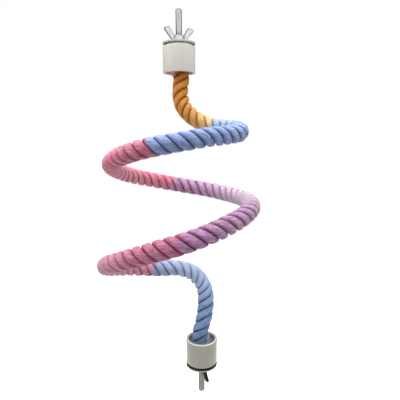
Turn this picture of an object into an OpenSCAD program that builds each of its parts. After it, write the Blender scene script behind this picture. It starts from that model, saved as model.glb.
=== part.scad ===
// Spiral rope bird perch: a three-strand cotton rope on a bendable wire, formed as a
// spiral, with a capped clamp bolt at each end. Millimetres, +Z up. The origin lies on
// the top bolt's axis, where its free end leaves the wing nut.

/* [Rope] */
// Diameter of the rope over its strands
rope_d = 15.2; // [13:0.2:17]
// Length of rope in which a strand winds once round
lay = 26.4; // [22:0.4:32]
// Depth of the groove between the strands
groove_depth = 1.5; // [0.9:0.1:2.1]
// Clear space between the strands, and between a strand and the wire
strand_gap = 0.3; // [0.2:0.05:0.5]
// Diameter of the bendable wire in the middle of the rope
wire_d = 3; // [2:0.2:3.6]
// Depth to which the rope reaches into each cap
rope_in_cap = 14; // [11:0.5:15]
// Length of bare wire past each end of the rope
wire_tail = 2; // [1:0.5:2.5]

/* [Spiral] */
// Distance of the spiral's axis to the right of the top bolt
spiral_right = 3.3; // [0:0.1:8]
// Distance of the spiral's axis in front of the top bolt
spiral_front = 37; // [33:1:41]
// Height from the spiral's first point up to the mouth of the top cap
spiral_drop = 58; // [54:1:64]
// Radius of the spiral where it starts, at the top
start_r = 54.5; // [50:0.5:59]
// Radius of the spiral's full turn
spiral_r = 61; // [57:1:65]
// Radius of the spiral where it ends, at the bottom
end_r = 66; // [62:1:70]
// Height of one turn in the close upper part
close_pitch = 64; // [58:1:70]
// Height of one turn in the open lower part
open_pitch = 120; // [110:1:128]
// Lean of the spiral, by which its lower turns come to the front
spiral_lean = 7.2; // [0:0.2:12]

/* [Ends] */
// Distance of the bottom bolt to the right of the top bolt
end_right = 21; // [17:0.5:25]
// Distance of the bottom bolt in front of the top bolt
end_front = 28; // [24:0.5:32]
// Height between the mouths of the two caps
end_drop = 251.5; // [246:0.5:258]
// Distance by which the rope leaves the top cap right of its middle
top_rope_shift = 1.8; // [0:0.5:3]
// Distance by which the rope leaves the bottom cap right of its middle
bottom_rope_shift = -1.6; // [-3:0.1:3]

/* [Cap] */
// Outer diameter of a cap
cap_d = 30; // [28:0.5:33]
// Height of a cap over its closed end
cap_h = 24; // [23:0.5:27]
// Thickness of a cap's wall
cap_wall = 2.4; // [1.8:0.1:2.6]
// Thickness of a cap's closed end
cap_floor = 2.4; // [1.8:0.1:3]
// Radius of the round edge at a cap's closed end
cap_round = 1.5; // [0.5:0.1:2]
// Depth of the glue's surface below the mouth of a cap
glue_recess = 3; // [2:0.5:4]
// Thickness of the tape bound round each end of the rope
tape_t = 0.7; // [0.4:0.1:1]
// Width of the tape bound round each end of the rope
tape_w = 8; // [5:0.5:9]

/* [Bolt and washers] */
// Outer diameter of the bolt's thread
thread_d = 6; // [5:0.1:7]
// Difference between the thread's diameter and the plain shank's
shank_relief = 0.66; // [0.5:0.02:1]
// Length of the bolt from under its head to its tip
bolt_length = 35; // [32:1:45]
// Width of the bolt's hexagon head across its flats
head_flats = 10; // [8:0.5:11]
// Height of the bolt's head
head_h = 4; // [3:0.5:4.5]
// Clear space across the bolt in the holes of the cap and the washers
hole_clearance = 0.4; // [0.2:0.1:1]
// Diameter of the inner washer, which lies on the cap
inner_washer_d = 25; // [20:0.5:28]
// Diameter of the outer washer, which clamps the cage wires
outer_washer_d = 30; // [26:0.5:34]
// Thickness of a washer
washer_t = 1.6; // [1:0.1:2]

/* [Wing nut] */
// Clear space between the bolt's thread and the nut
nut_clearance = 0.02; // [0.01:0.01:0.08]
// Diameter of the nut's hub at the washer
hub_d = 11.5; // [10:0.5:13]
// Diameter of the nut's hub at its top
hub_top_d = 9.4; // [8.4:0.2:10]
// Height of the nut's hub
hub_h = 6.4; // [5:0.2:8]
// Distance across the tips of the two wings
wing_span = 28; // [25:0.5:32]
// Height of the wings' tips over the washer
wing_h = 15; // [13:0.5:17]
// Thickness of a wing
wing_t = 2.4; // [1.8:0.1:3]
// Radius of a wing's round tip corners
wing_tip_r = 1.7; // [1.2:0.1:2.2]
// Turn of the top nut's wings from the picture's plane
top_nut_turn = 20; // [0:2:178]
// Turn of the bottom nut's wings from the picture's plane
bottom_nut_turn = 62; // [0:2:178]

/* [Hidden] */
$fn = 64;

// Overrun of a cut past the face that it opens
cut = 0.5;
// Clear space round the rope, its tape and the head where the glue holds them
seat = 0.05;

// Rope: the twisted section is drawn again at every station along the route
rope_r = rope_d / 2;
wire_r = wire_d / 2;
stations_per_lay = 10;
steps_per_span = 8;
strand_count = 3;
crest_angles = [-46, -16, 16, 46];
// Where a strand's inner edges and its hollow for the wire lie, as shares of the clear radius
edge_share = 1.33;
hollow_share = 1.1;
wire_sides = 6;
wire_every = 2;

// Spiral: a knot every eighth of a turn, going right to front to left and down
first_angle = -30;
knots_per_turn = 8;
spiral_knots = 12;
widen_turns = 0.7;
open_turn = 0.99;
flare_turn = 1.14;
flare_turns = 0.3;

// The rope's lead from the top mouth to the spiral's first knot, and from its last
// knot to the bottom mouth, as shares of the way right, the way front and the drop
top_lead_shares = [[0, 0, 0.1], [-0.02, 0.04, 0.33], [0.03, 0.11, 0.54], [0.3, 0.23, 0.79],
    [0.64, 0.33, 0.9], [0.96, 0.58, 0.94]];
bottom_lead_shares = [[0.21, 0.9, 0.16], [0.53, 1.1, 0.2], [0.73, 1.19, 0.21], [0.92, 1.25, 0.28],
    [1.04, 1.26, 0.42], [1.07, 1.14, 0.65], [1.04, 1.03, 0.8], [1, 1, 0.95]];

// Wing: how high its outer tip corner and how far out its inner one lie, and how high
// on the hub its foot and neck lie and their radii, as shares of the hub's height
outer_tip_share = 0.8;
inner_tip_share = 0.79;
wing_foot_share = 0.5;
wing_foot_r_share = 0.25;
wing_neck_share = 0.8;
wing_neck_r_share = 0.125;

// Heights in one end, from the mouth of its cap towards the tip of its bolt
head_z = cap_h - cap_floor - head_h;
clamp_z = cap_h + washer_t;
nut_z = clamp_z + washer_t;
free_z = nut_z + hub_h;
tip_z = cap_h - cap_floor + bolt_length;
cap_r = cap_d / 2;
thread_r = thread_d / 2;
shank_d = thread_d - shank_relief;
clear_hole_d = thread_d + hole_clearance;
glue_r = cap_r - cap_wall;

// Places of the two mouths
top_mouth = [0, 0, -free_z];
bottom_mouth = top_mouth + [end_right, -end_front, -end_drop];
spiral_axis = top_mouth + [spiral_right, -spiral_front, -spiral_drop];
rope_top = top_mouth + [top_rope_shift, 0, 0];
rope_bottom = bottom_mouth + [bottom_rope_shift, 0, 0];

function spiral_radius(turns) =
    spiral_r - (spiral_r - start_r) * pow(max(0, 1 - turns / widen_turns), 2)
    + (end_r - spiral_r) * pow(max(0, (turns - flare_turn) / flare_turns), 2);

function spiral_fall(turns) =
    close_pitch * turns + (open_pitch - close_pitch) * max(0, turns - open_turn);

function spiral_knot(turns) =
    let (a = first_angle - 360 * turns, r = spiral_radius(turns), fall = spiral_fall(turns),
        c = cos(spiral_lean), s = sin(spiral_lean))
    spiral_axis + [r * cos(a), r * sin(a) * c - fall * s, -r * sin(a) * s - fall * c];

function between(from, to, shares) =
    [for (i = [0:2]) from[i] + (to[i] - from[i]) * shares[i]];

spiral = [for (i = [0:spiral_knots - 1]) spiral_knot(i / knots_per_turn)];

route = concat(
    [rope_top + [0, 0, rope_in_cap + wire_tail], rope_top + [0, 0, rope_in_cap], rope_top],
    [for (s = top_lead_shares) between(rope_top, spiral[0], s)],
    spiral,
    [for (s = bottom_lead_shares) between(spiral[spiral_knots - 1], rope_bottom, s)],
    [rope_bottom, rope_bottom - [0, 0, rope_in_cap], rope_bottom - [0, 0, rope_in_cap + wire_tail]]);

last = len(route) - 1;
span = [for (i = [0:last - 1]) norm(route[i + 1] - route[i])];
slope = [for (i = [0:last - 1]) (route[i + 1] - route[i]) / span[i]];
// Direction at each knot, leaning to its shorter side
heading = [for (i = [0:last])
    i == 0 ? slope[0] : i == last ? slope[last - 1]
    : (slope[i - 1] * span[i] + slope[i] * span[i - 1]) / (span[i - 1] + span[i])];

function on_span(i, t) =
    (2 * pow(t, 3) - 3 * pow(t, 2) + 1) * route[i]
    + (pow(t, 3) - 2 * pow(t, 2) + t) * span[i] * heading[i]
    + (3 * pow(t, 2) - 2 * pow(t, 3)) * route[i + 1]
    + (pow(t, 3) - pow(t, 2)) * span[i] * heading[i + 1];

// The rope's own middle line, without the bare tails of the wire
line = [for (i = [1:last - 2]) for (k = [0:steps_per_span - 1]) on_span(i, k / steps_per_span),
    route[last - 1]];
line_last = len(line) - 1;
travelled = [for (i = 0, d = 0; i <= line_last;
    d = d + (i < line_last ? norm(line[i + 1] - line[i]) : 0), i = i + 1) d];
rope_length = travelled[line_last];
stations = round(rope_length / lay * stations_per_lay);

function place_at(d) =
    let (i = min(line_last - 1, search_down(d, 0, line_last)),
        t = (d - travelled[i]) / (travelled[i + 1] - travelled[i]))
    line[i] + (line[i + 1] - line[i]) * t;

function search_down(d, low, high) =
    high - low <= 1 ? low
    : let (mid = floor((low + high) / 2))
    travelled[mid] <= d ? search_down(d, mid, high) : search_down(d, low, mid);

middle = [for (i = [0:stations]) place_at(rope_length * i / stations)];

// Least clear space between the rope's turns, over stations a third of a turn or more apart
third_turn = ceil(2 * PI * spiral_r / 3 / lay * stations_per_lay);
turn_gap = min([for (i = [0:stations - third_turn], k = [i + third_turn:stations])
    norm(middle[k] - middle[i])]) - rope_d;
echo(rope_length = rope_length, turn_gap = turn_gap);

function unit(v) = v / norm(v);

function ahead(i) = unit(middle[min(stations, i + 1)] - middle[max(0, i - 1)]);

// Outward from the spiral's axis, square to the rope
function outward(i) =
    let (t = ahead(i), o = [middle[i][0] - spiral_axis[0], middle[i][1] - spiral_axis[1], 0])
    unit(o - t * (o * t));

function ring(i, section, turn) =
    let (t = ahead(i), u = outward(i), w = cross(t, u), c = cos(turn), s = sin(turn))
    [for (p = section) middle[i] + u * (p[0] * c - p[1] * s) + w * (p[0] * s + p[1] * c)];

// A closed tube through rings that all have the same number of points
module skin(rings) {
    n = len(rings[0]);
    m = len(rings);
    points = [for (r = rings) for (p = r) p];
    sides = [for (i = [0:m - 2]) for (k = [0:n - 1])
        let (a = i * n + k, b = i * n + (k + 1) % n)
        each [[a, b + n, b], [a, a + n, b + n]]];
    first_cap = [for (k = [0:n - 1]) k];
    last_cap = [for (k = [n - 1:-1:0]) (m - 1) * n + k];
    polyhedron(points, concat([first_cap], sides, [last_cap]));
}

// A third of the rope's section: a round crest, a side towards each neighbour, and a hollow
// that clears the wire
half_gap = strand_gap / 2;
half_sector = 180 / strand_count;
clear_r = wire_r + strand_gap;

function side_point(side, r) =
    [r * cos(half_sector) + half_gap * sin(half_sector),
        side * (r * sin(half_sector) - half_gap * cos(half_sector))];

strand_section = concat(
    [side_point(-1, rope_r - groove_depth)],
    [for (a = crest_angles) [rope_r * cos(a), rope_r * sin(a)]],
    [side_point(1, rope_r - groove_depth), side_point(1, clear_r * edge_share),
    [clear_r * hollow_share, 0], side_point(-1, clear_r * edge_share)]);

module strand(phase) {
    skin([for (i = [0:stations]) ring(i, strand_section, phase + 360 * rope_length * i / stations / lay)]);
}

module strand_a() color("salmon") strand(0);

module strand_b() color("lightsteelblue") strand(360 / strand_count);

module strand_c() color("plum") strand(720 / strand_count);

wire_section = [for (k = [0:wire_sides - 1])
    [wire_r * cos(360 * k / wire_sides), wire_r * sin(360 * k / wire_sides)]];

module wire_core() {
    places = [for (i = [0:wire_every:stations - wire_every]) i, stations];
    tail = [0, 0, wire_tail];
    color("gray")
        skin(concat(
            [[for (p = ring(0, wire_section, 0)) p + tail]],
            [for (i = places) ring(i, wire_section, 0)],
            [[for (p = ring(stations, wire_section, 0)) p - tail]]));
}

// Carries an end's pieces to the top, and turned over to the bottom
module at_top() {
    translate(top_mouth)
        children();
}

module at_bottom() {
    translate(bottom_mouth)
        rotate([180, 0, 0])
            children();
}

module cap_outline() {
    square([cap_r, cap_h - cap_round]);
    square([cap_r - cap_round, cap_h]);
    translate([cap_r - cap_round, cap_h - cap_round])
        circle(cap_round);
}

module end_cap() {
    color("ivory")
        difference() {
            rotate_extrude()
                intersection() {
                    cap_outline();
                    square([cap_r, cap_h]);
                }
            translate([0, 0, -cut])
                cylinder(h = cap_h - cap_floor + cut, r = glue_r);
            cylinder(h = cap_h + cut, d = clear_hole_d);
        }
}

module head_block(grow) {
    translate([0, 0, head_z - grow])
        cylinder(h = head_h + grow, r = (head_flats / 2 + grow) / cos(30), $fn = 6);
}

module end_bolt() {
    color("silver") {
        head_block(0);
        translate([0, 0, head_z])
            cylinder(h = free_z - head_z, d = shank_d);
        translate([0, 0, free_z])
            cylinder(h = tip_z - thread_r - free_z, r = thread_r);
        translate([0, 0, tip_z - thread_r])
            rotate_extrude()
                intersection() {
                    circle(thread_r);
                    square(thread_r);
                }
    }
}

// The glue fills the cap round the rope's end and the bolt's head
module end_glue(rope_shift) {
    color("lightgray")
        difference() {
            translate([0, 0, glue_recess])
                cylinder(h = cap_h - cap_floor - glue_recess, r = glue_r);
            translate([rope_shift, 0, 0]) {
                cylinder(h = rope_in_cap + seat, r = rope_r + seat);
                translate([0, 0, rope_in_cap - tape_w - seat])
                    cylinder(h = tape_w + 2 * seat, r = rope_r + seat + tape_t + seat);
                cylinder(h = rope_in_cap + wire_tail + seat, r = wire_r + seat);
            }
            head_block(seat);
            cylinder(h = cap_h, d = shank_d);
        }
}

module end_tape(rope_shift) {
    color("tan")
        translate([rope_shift, 0, rope_in_cap - tape_w])
            difference() {
                cylinder(h = tape_w, r = rope_r + seat + tape_t);
                translate([0, 0, -cut])
                    cylinder(h = tape_w + 2 * cut, r = rope_r + seat);
            }
}

module washer(z, outer_d) {
    color("gainsboro")
        translate([0, 0, z])
            difference() {
                cylinder(h = washer_t, d = outer_d);
                translate([0, 0, -cut])
                    cylinder(h = washer_t + 2 * cut, d = clear_hole_d);
            }
}

// One wing, drawn in the plane through the bolt's axis
module wing_outline() {
    tip_x = wing_span / 2 - wing_tip_r;
    tip_y = wing_h - wing_tip_r;
    hull() {
        translate([tip_x, tip_y * outer_tip_share])
            circle(wing_tip_r);
        translate([tip_x * inner_tip_share, tip_y])
            circle(wing_tip_r);
        translate([hub_d / 2, hub_h * wing_foot_share])
            circle(hub_h * wing_foot_r_share);
        translate([hub_top_d / 2, hub_h * wing_neck_share])
            circle(hub_h * wing_neck_r_share);
    }
}

module wing_nut(turn) {
    color("gainsboro")
        translate([0, 0, nut_z])
            rotate(turn)
                difference() {
                    union() {
                        cylinder(h = hub_h, d1 = hub_d, d2 = hub_top_d);
                        for (side = [0, 180])
                            rotate(side)
                                rotate([90, 0, 0])
                                    translate([0, 0, -wing_t / 2])
                                        linear_extrude(wing_t)
                                            wing_outline();
                    }
                    translate([0, 0, -cut])
                        cylinder(h = wing_h + 2 * cut, r = thread_r + nut_clearance);
                }
}

module top_cap() at_top() end_cap();
module top_bolt() at_top() end_bolt();
module top_glue() at_top() end_glue(top_rope_shift);
module top_tape() at_top() end_tape(top_rope_shift);
module top_inner_washer() at_top() washer(cap_h, inner_washer_d);
module top_outer_washer() at_top() washer(clamp_z, outer_washer_d);
module top_wing_nut() at_top() wing_nut(top_nut_turn);
module bottom_cap() at_bottom() end_cap();
module bottom_bolt() at_bottom() end_bolt();
module bottom_glue() at_bottom() end_glue(bottom_rope_shift);
module bottom_tape() at_bottom() end_tape(bottom_rope_shift);
module bottom_inner_washer() at_bottom() washer(cap_h, inner_washer_d);
module bottom_outer_washer() at_bottom() washer(clamp_z, outer_washer_d);
module bottom_wing_nut() at_bottom() wing_nut(bottom_nut_turn);

wire_core();
strand_a();
strand_b();
strand_c();
top_cap();
top_bolt();
top_glue();
top_tape();
top_inner_washer();
top_outer_washer();
top_wing_nut();
bottom_cap();
bottom_bolt();
bottom_glue();
bottom_tape();
bottom_inner_washer();
bottom_outer_washer();
bottom_wing_nut();
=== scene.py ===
"""Spiral rope bird perch: the laid cotton rope in its dyed bands, and the cap, bolt, washers,
glue and wing nut at each end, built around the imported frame. Metres, +Z up."""
import math

import bpy
import numpy as np
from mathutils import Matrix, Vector

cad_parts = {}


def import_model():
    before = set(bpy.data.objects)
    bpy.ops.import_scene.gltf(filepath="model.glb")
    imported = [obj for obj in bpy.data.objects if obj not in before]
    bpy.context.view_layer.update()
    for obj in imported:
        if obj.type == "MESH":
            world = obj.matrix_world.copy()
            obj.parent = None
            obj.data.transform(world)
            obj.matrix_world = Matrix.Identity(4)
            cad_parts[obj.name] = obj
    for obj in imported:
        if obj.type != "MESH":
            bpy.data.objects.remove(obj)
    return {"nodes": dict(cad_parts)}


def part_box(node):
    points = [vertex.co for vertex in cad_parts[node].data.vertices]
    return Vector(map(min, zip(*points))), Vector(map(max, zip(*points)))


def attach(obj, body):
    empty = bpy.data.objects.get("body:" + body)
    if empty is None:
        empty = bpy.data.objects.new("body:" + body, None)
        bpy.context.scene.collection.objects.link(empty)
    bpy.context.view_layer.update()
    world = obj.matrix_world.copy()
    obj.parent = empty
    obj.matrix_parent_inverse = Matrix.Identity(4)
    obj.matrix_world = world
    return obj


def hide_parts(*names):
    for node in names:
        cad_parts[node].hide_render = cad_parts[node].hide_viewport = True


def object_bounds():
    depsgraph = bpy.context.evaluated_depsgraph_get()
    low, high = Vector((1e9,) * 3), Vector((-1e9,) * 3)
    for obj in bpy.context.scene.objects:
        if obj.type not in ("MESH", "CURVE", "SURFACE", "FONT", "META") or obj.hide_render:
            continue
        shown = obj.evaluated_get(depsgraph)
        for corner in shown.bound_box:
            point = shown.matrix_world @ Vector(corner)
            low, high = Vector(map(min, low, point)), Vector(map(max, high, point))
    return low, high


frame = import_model()
cad_low, cad_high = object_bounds()
MIDDLE = (cad_low + cad_high) / 2
MM = 0.001

# The photograph's camera: focal length in its pixels, place and downward pitch
IMAGE_PX = 400
FOCAL_PX = 381
CAMERA_PLACE = Vector((19.4, -371, -89.3)) * MM
CAMERA_PITCH = math.radians(9.83)
CAMERA_NEAR = 10 * MM
SENSOR = 36

# The rope and its route, with the values of the CAD source
ROPE_R = 7.6 * MM
LAY = 26.4 * MM
STRANDS = 3
STRAND_GAP = 0.3 * MM
SPIRAL_RIGHT, SPIRAL_FRONT, SPIRAL_DROP = 3.3 * MM, 37 * MM, 58 * MM
START_R, SPIRAL_R, END_R = 54.5 * MM, 61 * MM, 66 * MM
CLOSE_PITCH, OPEN_PITCH = 64 * MM, 120 * MM
SPIRAL_LEAN = math.radians(7.2)
ROPE_IN_CAP = 14 * MM
ROPE_SHIFT = {"top": 1.8 * MM, "bottom": -1.6 * MM}
FIRST_ANGLE = math.radians(-30)
KNOTS_PER_TURN, SPIRAL_KNOTS = 8, 12
WIDEN_TURNS, OPEN_TURN, FLARE_TURN, FLARE_TURNS = 0.7, 0.99, 1.14, 0.3
TOP_LEAD_SHARES = ((0, 0, 0.1), (-0.02, 0.04, 0.33), (0.03, 0.11, 0.54), (0.3, 0.23, 0.79),
                   (0.64, 0.33, 0.9), (0.96, 0.58, 0.94))
BOTTOM_LEAD_SHARES = ((0.21, 0.9, 0.16), (0.53, 1.1, 0.2), (0.73, 1.19, 0.21), (0.92, 1.25, 0.28),
                      (1.04, 1.26, 0.42), (1.07, 1.14, 0.65), (1.04, 1.03, 0.8), (1, 1, 0.95))
# Steps of the rope's line from knot to knot, and how far to either side its heading is taken
STEPS_PER_KNOT = 40
HEADING_REACH = 1.35 * MM

# A strand's section: its corners, its crest as a share of the rope's radius, and where it ends inside
STRAND_CORNER_R = 2.3 * MM
STRAND_PLUMP_SHARE = 0.86
STRAND_INSIDE_R = 2.4 * MM
STRAND_NOSE_SHARE = 1.4
# Steps of its mesh along the rope and round it, and how many places are tried for its corner
RING_STEP = 1.2 * MM
OUTLINE_STEP = 0.27 * MM
CORNER_TRIES = 2000
# The yarns are twisted against the strands, so that they run nearly along the rope
YARN_W = 1.3 * MM
YARN_DRIFT = 1.45
# Puffs of the cotton: how long and how wide the coarse and the fine ones are, in millimetres, how
# high the coarse ones are, and how high the fine ones are as a share of that
COARSE_PUFF = (6, 5)
FINE_PUFF = (2.5, 2.2)
PUFF_H = 0.14 * MM
FINE_PUFF_SHARE = 0.5
# Seeds of the puffs on strands a, b and c, and how far apart the strands' fibre patterns lie
STRAND_SEEDS = {"a": 3, "b": 11, "c": 19}
SEED_STEP = 20

# The hand-wound rope is uneven: distance along it and thickness as a share of the even rope's
THICKNESS_SHARES = ((0, 1), (100, 0.97), (160, 0.95), (225, 1), (300, 0.97), (520, 1), (590, 1.06),
                    (650, 1), (715, 0.97), (775, 1.04), (803, 1.06), (822, 1.0), (849, 1.0))
# Distance along the rope and how far its strands are wound back from the even lay, in degrees
WOUND_BACK = ((20, 60), (42, 103), (60, 92), (150, 150), (185, 103), (230, 105), (340, 18), (430, 92),
              (555, 56), (590, 78), (770, 110), (795, 93), (822, 132))
# Both change softly: each is the mean over this many millimetres to either side, at this many places
EASE_REACH, EASE_SAMPLES = 8, 9

# Dyed bands: where each ends along strands a, b and c in millimetres, and its colours, partly dye and
# partly painted light and shade: at its start, at distances along the rope, and at its end. The last
# band's end lies past the rope's. The last band grows darker towards the bottom end as painted shade.
BANDS = (
    ((86, 83, 85), (220, 142, 76),
     ((24, (218, 152, 68)), (50, (216, 152, 70)), (62, (214, 156, 82)), (74, (228, 192, 130))),
     (228, 202, 162)),
    ((212, 216, 213), (172, 190, 224), ((120, (150, 172, 214)),), (152, 172, 218)),
    ((371, 374, 369), (212, 126, 152),
     ((250, (226, 146, 168)), (290, (230, 162, 176)), (330, (232, 154, 174))),
     (228, 140, 168)),
    ((570, 579, 574), (196, 142, 182),
     ((410, (200, 160, 196)), (455, (220, 202, 218)), (485, (222, 198, 218)), (520, (198, 158, 194))),
     (192, 140, 184)),
    ((728, 726, 727), (204, 126, 160),
     ((610, (220, 138, 170)), (645, (228, 172, 190)), (675, (234, 188, 200))),
     (228, 154, 178)),
    ((900, 900, 900), (168, 178, 210),
     ((760, (198, 212, 240)), (782, (204, 222, 250)), (800, (154, 182, 222))),
     (132, 160, 204)),
)
BAND_BLUR = 1.5 * MM
# Distance along the rope and how streaky it is there, as a grey of 0 to 255
STREAKY = ((60, 120), (110, 160), (150, 230), (235, 215), (265, 150), (330, 215), (440, 160), (490, 150),
           (530, 225), (620, 200), (650, 140), (720, 170), (800, 190))

# Patterns of the cotton: how many of each lie in a millimetre along the rope and across the yarns
RAGGED_RATE = (0.25, 1.4, 1)
WANDER_RATE = (0.09, 0.22, 1)
STREAK_RATE = (0.2, 1.15, 1)
PATCH_RATE = (0.12, 0.3, 1)
HAIR_RATE = (0.7, 6, 1)
# How far a yarn wanders, in yarns, how round it is, and the grey of the pale streaks
WANDER_YARNS = 2.4
YARN_POWER = 0.6
PALE_GREY = 252
# How far the dye goes deep by itself, to pale streaks, back in patches, to dark streaks, and in grooves
# as painted shade
DEEP_SHARE = 0.95
PALE_SHARE = 0.6
PATCH_SHARE = 0.4
DARK_SHARE = 0.85
GROOVE_SHADE_SHARE = 0.9
# Heights of the yarns, the streaks and the hairs
YARN_H, STREAK_H, HAIR_H = 0.5 * MM, 0.6 * MM, 0.2 * MM

# How far light runs under the surface, as shares for red, green and blue of the depth in each material
PALE_GLOW_SHARES = (1, 0.9, 0.8)
GLUE_GLOW_SHARES = (1, 0.8, 0.7)
COTTON_GLOW, PLASTIC_GLOW, GLUE_GLOW = 1.2 * MM, 0.8 * MM, 1.5 * MM
# Patterns of the other surfaces: how many of each lie in a metre, and how high they stand
FLOW_RATE, SCUFF_RATE = 90, (900, 900, 120)
PLASTIC_GRAIN_RATE, PLASTIC_GRAIN_H = 260, 0.2 * MM
CLOUD_RATE, DENT_H = 420, 0.15 * MM
ZINC_GRAIN_RATE, ZINC_GRAIN_H = 2600, 0.04 * MM
WISP_RATE, WISP_H = 330, 0.3 * MM
WEAVE_RATE, WEAVE_H = 900, 0.1 * MM
DRAWN_RATE, DRAWN_H = (2000, 2000, 200), 0.05 * MM
# How near another surface shelters the zinc for its painted shade, and what its colour is multiplied by
# on a rim's painted dark band
SHELTER_REACH = 4 * MM
PAINTED_DARK_EDGE = (92, 94, 98)
# The grey that zinc mirrors at a slant, and the greys between which its grain takes its roughness
SLANT_GREY = 30
GLOSS_GREYS = (220, 330)

# Caps, with the height of the paler ring painted inside each rim as painted light on the shaded wall,
# and of that ring's edge
HOLE_R = 3.2 * MM
CAP_WALL = 2.4 * MM
CAP_ROUND = 1.5 * MM
RIM_ROUND = 0.55 * MM
PAINTED_LIT_RING_H = 1.8 * MM
PAINTED_LIT_RING_BLUR = 0.4 * MM
# A washer's rounds: at the hole and the rim towards the cap, then at the rim and the hole outside
WASHER_ROUNDS = (0.1 * MM, 0.15 * MM, 0.35 * MM, 0.2 * MM)

# Bolts: the thread, how steep its flanks are and how wide its crest, its length hidden in the cap,
# and the lengths over which it fades
BOLT_R = 3 * MM
THREAD_PITCH = 1 * MM
THREAD_DEPTH = 0.3 * MM
FLANK_SHARE, CREST_SHARE = 1.35, 0.18
THREAD_HIDDEN = 2 * MM
FADE_IN, FADE_OUT, FADE_PAST = 1 * MM, 1.2 * MM, 0.4 * MM
# The round tip, the hexagon head with its bevel, and the shank, by the head's height
TIP_H = 1.8 * MM
TIP_ROUND_SHARE = 0.97
HEAD_H = 4 * MM
HEAD_SHARES = ((0.94, 0), (1, 0.06), (1, 1))
SHANK_R = 2.67 * MM
SHANK_SHARES = (0.5, 1.9)
HEAD_CORNERS = 6
BOLT_AROUND, RINGS_PER_PITCH, TIP_RINGS, SHANK_AROUND = 48, 8, 12, 24

# Wing nuts: the hub
HUB_R, HUB_TOP_R, HUB_H = 5.75 * MM, 4.7 * MM, 6.4 * MM
NUT_BORE_R = 3.02 * MM
HUB_ROUNDS = (0.3 * MM, 0.4 * MM, 0.9 * MM, 0.4 * MM)
# A wing is drawn round four circles: two at its ear, placed by its tip, and two at the hub, with
# their height and radius by the hub's height
WING_SPAN, WING_H, WING_TIP_R = 28 * MM, 15 * MM, 1.7 * MM
EAR_SHARES = ((1, 0.84), (0.77, 0.88))
ROOT_SHARES = ((0.5, 0.25), (0.8, 0.125))
WING_T, WING_TIP_T = 2.4 * MM, 1.9 * MM
WING_EDGE_R = 1.1 * MM
EDGE_SLOPES = (-90, -55, -25, 0, 25, 55, 90)
WING_AROUND = 40
NUT_TURN = {"top": math.radians(20), "bottom": math.radians(62)}
# The cast surface: its grain, and how it is smoothed
CAST_STEP = 0.22 * MM
CAST_SMOOTHING, CAST_ROUNDS = 0.5, 4
# The band painted darker round each wing as a painted dark reflection: its width, its blur and the step
# at which its line is followed
EDGE_W = 1.4 * MM
EDGE_BLUR = 0.5 * MM
EDGE_STEP = 0.25 * MM

# Glue: how far it grips the cap's wall and how far its face is sunk
GLUE_GRIP = 0.1 * MM
GLUE_SUNK = 0.4 * MM
# Heights and reaches of its heaps against the rope and the wall
ROPE_HEAP_H, ROPE_HEAP_REACH = 1.3 * MM, 1 * MM
WALL_HEAP_H, WALL_HEAP_REACH = 0.7 * MM, 0.7 * MM
# Height and width of its lumps and wrinkles, and where their patterns start
LUMPS = (0.45 * MM, 2.2 * MM, 40)
WRINKLES = (0.15 * MM, 0.9 * MM, 90)
GLUE_SEEDS = {"top": 21, "bottom": 33}
GLUE_RINGS, GLUE_AROUND, GLUE_MIDDLE_SHARE = 16, 72, 0.02
# The lobe at the upper mouth: its place from the rope's middle, its height and its reach
LOBE_X, LOBE_Y = -7.6 * MM, -4.6 * MM
LOBE_H, LOBE_REACH = 7 * MM, 3.2 * MM
# The string of glue at the lower mouth: its points from the mouth's middle in millimetres, its
# radius, and how it tapers
STRING = ((5.6, -8.2, -1.6), (5.9, -7.8, 1.5), (6.2, -7.2, 4.5), (6.7, -6.2, 7.5), (7.0, -5.0, 10))
STRING_R = 0.32 * MM
STRING_SIDES = 6
STRING_END, STRING_TAPER_POWER = 0.15, 0.35

# Points round a turned piece, and in each of its rounds
AROUND = 96
ROUND_STEPS = 5

# Stage: the floor's half width and its drop below the perch, its grey and its glow
FLOOR_HALF, FLOOR_DROP = 0.7, 60 * MM
FLOOR_GREY, FLOOR_GLOW = 235, 0.72
# How bright the surroundings light the perch, how bright mirrors see them behind it, and the part of
# the way back over which they fade to that
WORLD_LIGHT = 0.08
MIRROR_BEHIND = 0.3
MIRROR_FRONT_Y, MIRROR_BACK_Y = -0.3, 0.8
# Each lamp's place, what it points at, its width and its power
LAMPS = {
    "top": ((0, 0.05, 0.5), MIDDLE, 0.35, 5.2),
    "key": ((0, -0.35, 0.3), (0, 0, -0.05), 0.3, 0.9),
    "left": ((-0.5, -0.2, 0.25), MIDDLE, 0.4, 2.3),
    "right": ((0.5, -0.2, 0.25), MIDDLE, 0.4, 1.9),
}


class End:
    """One end of the perch: its cap's mouth, the way its bolt points, and its radii from the frame.
    Local heights run from the mouth towards the bolt's tip."""

    def __init__(self, name, way):
        self.name = name
        self.way = way
        low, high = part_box(name + "_cap")
        mouth_z = low.z if way > 0 else high.z
        self.mouth = Vector(((low.x + high.x) / 2, (low.y + high.y) / 2, mouth_z))
        self.cap_r = (high.x - low.x) / 2
        self.cap_h = high.z - low.z

    def local(self, node):
        """Local heights of a node's two ends, the nearer to the mouth first."""
        low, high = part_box(self.name + "_" + node)
        return sorted((self.way * (low.z - self.mouth.z), self.way * (high.z - self.mouth.z)))

    def radius(self, node):
        low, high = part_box(self.name + "_" + node)
        return (high.x - low.x) / 2

    def world(self, points):
        """Points from the end's own frame to the scene's: the bottom end is turned over about X."""
        return np.asarray(points, float) * (1, self.way, self.way) + np.array(self.mouth)


TOP = End("top", 1)
BOTTOM = End("bottom", -1)


# Route of the rope's middle line
def spiral_radius(turns):
    widen = max(0, 1 - turns / WIDEN_TURNS)
    flare = max(0, (turns - FLARE_TURN) / FLARE_TURNS)
    return SPIRAL_R - (SPIRAL_R - START_R) * widen ** 2 + (END_R - SPIRAL_R) * flare ** 2


def spiral_fall(turns):
    return CLOSE_PITCH * turns + (OPEN_PITCH - CLOSE_PITCH) * max(0, turns - OPEN_TURN)


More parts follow.
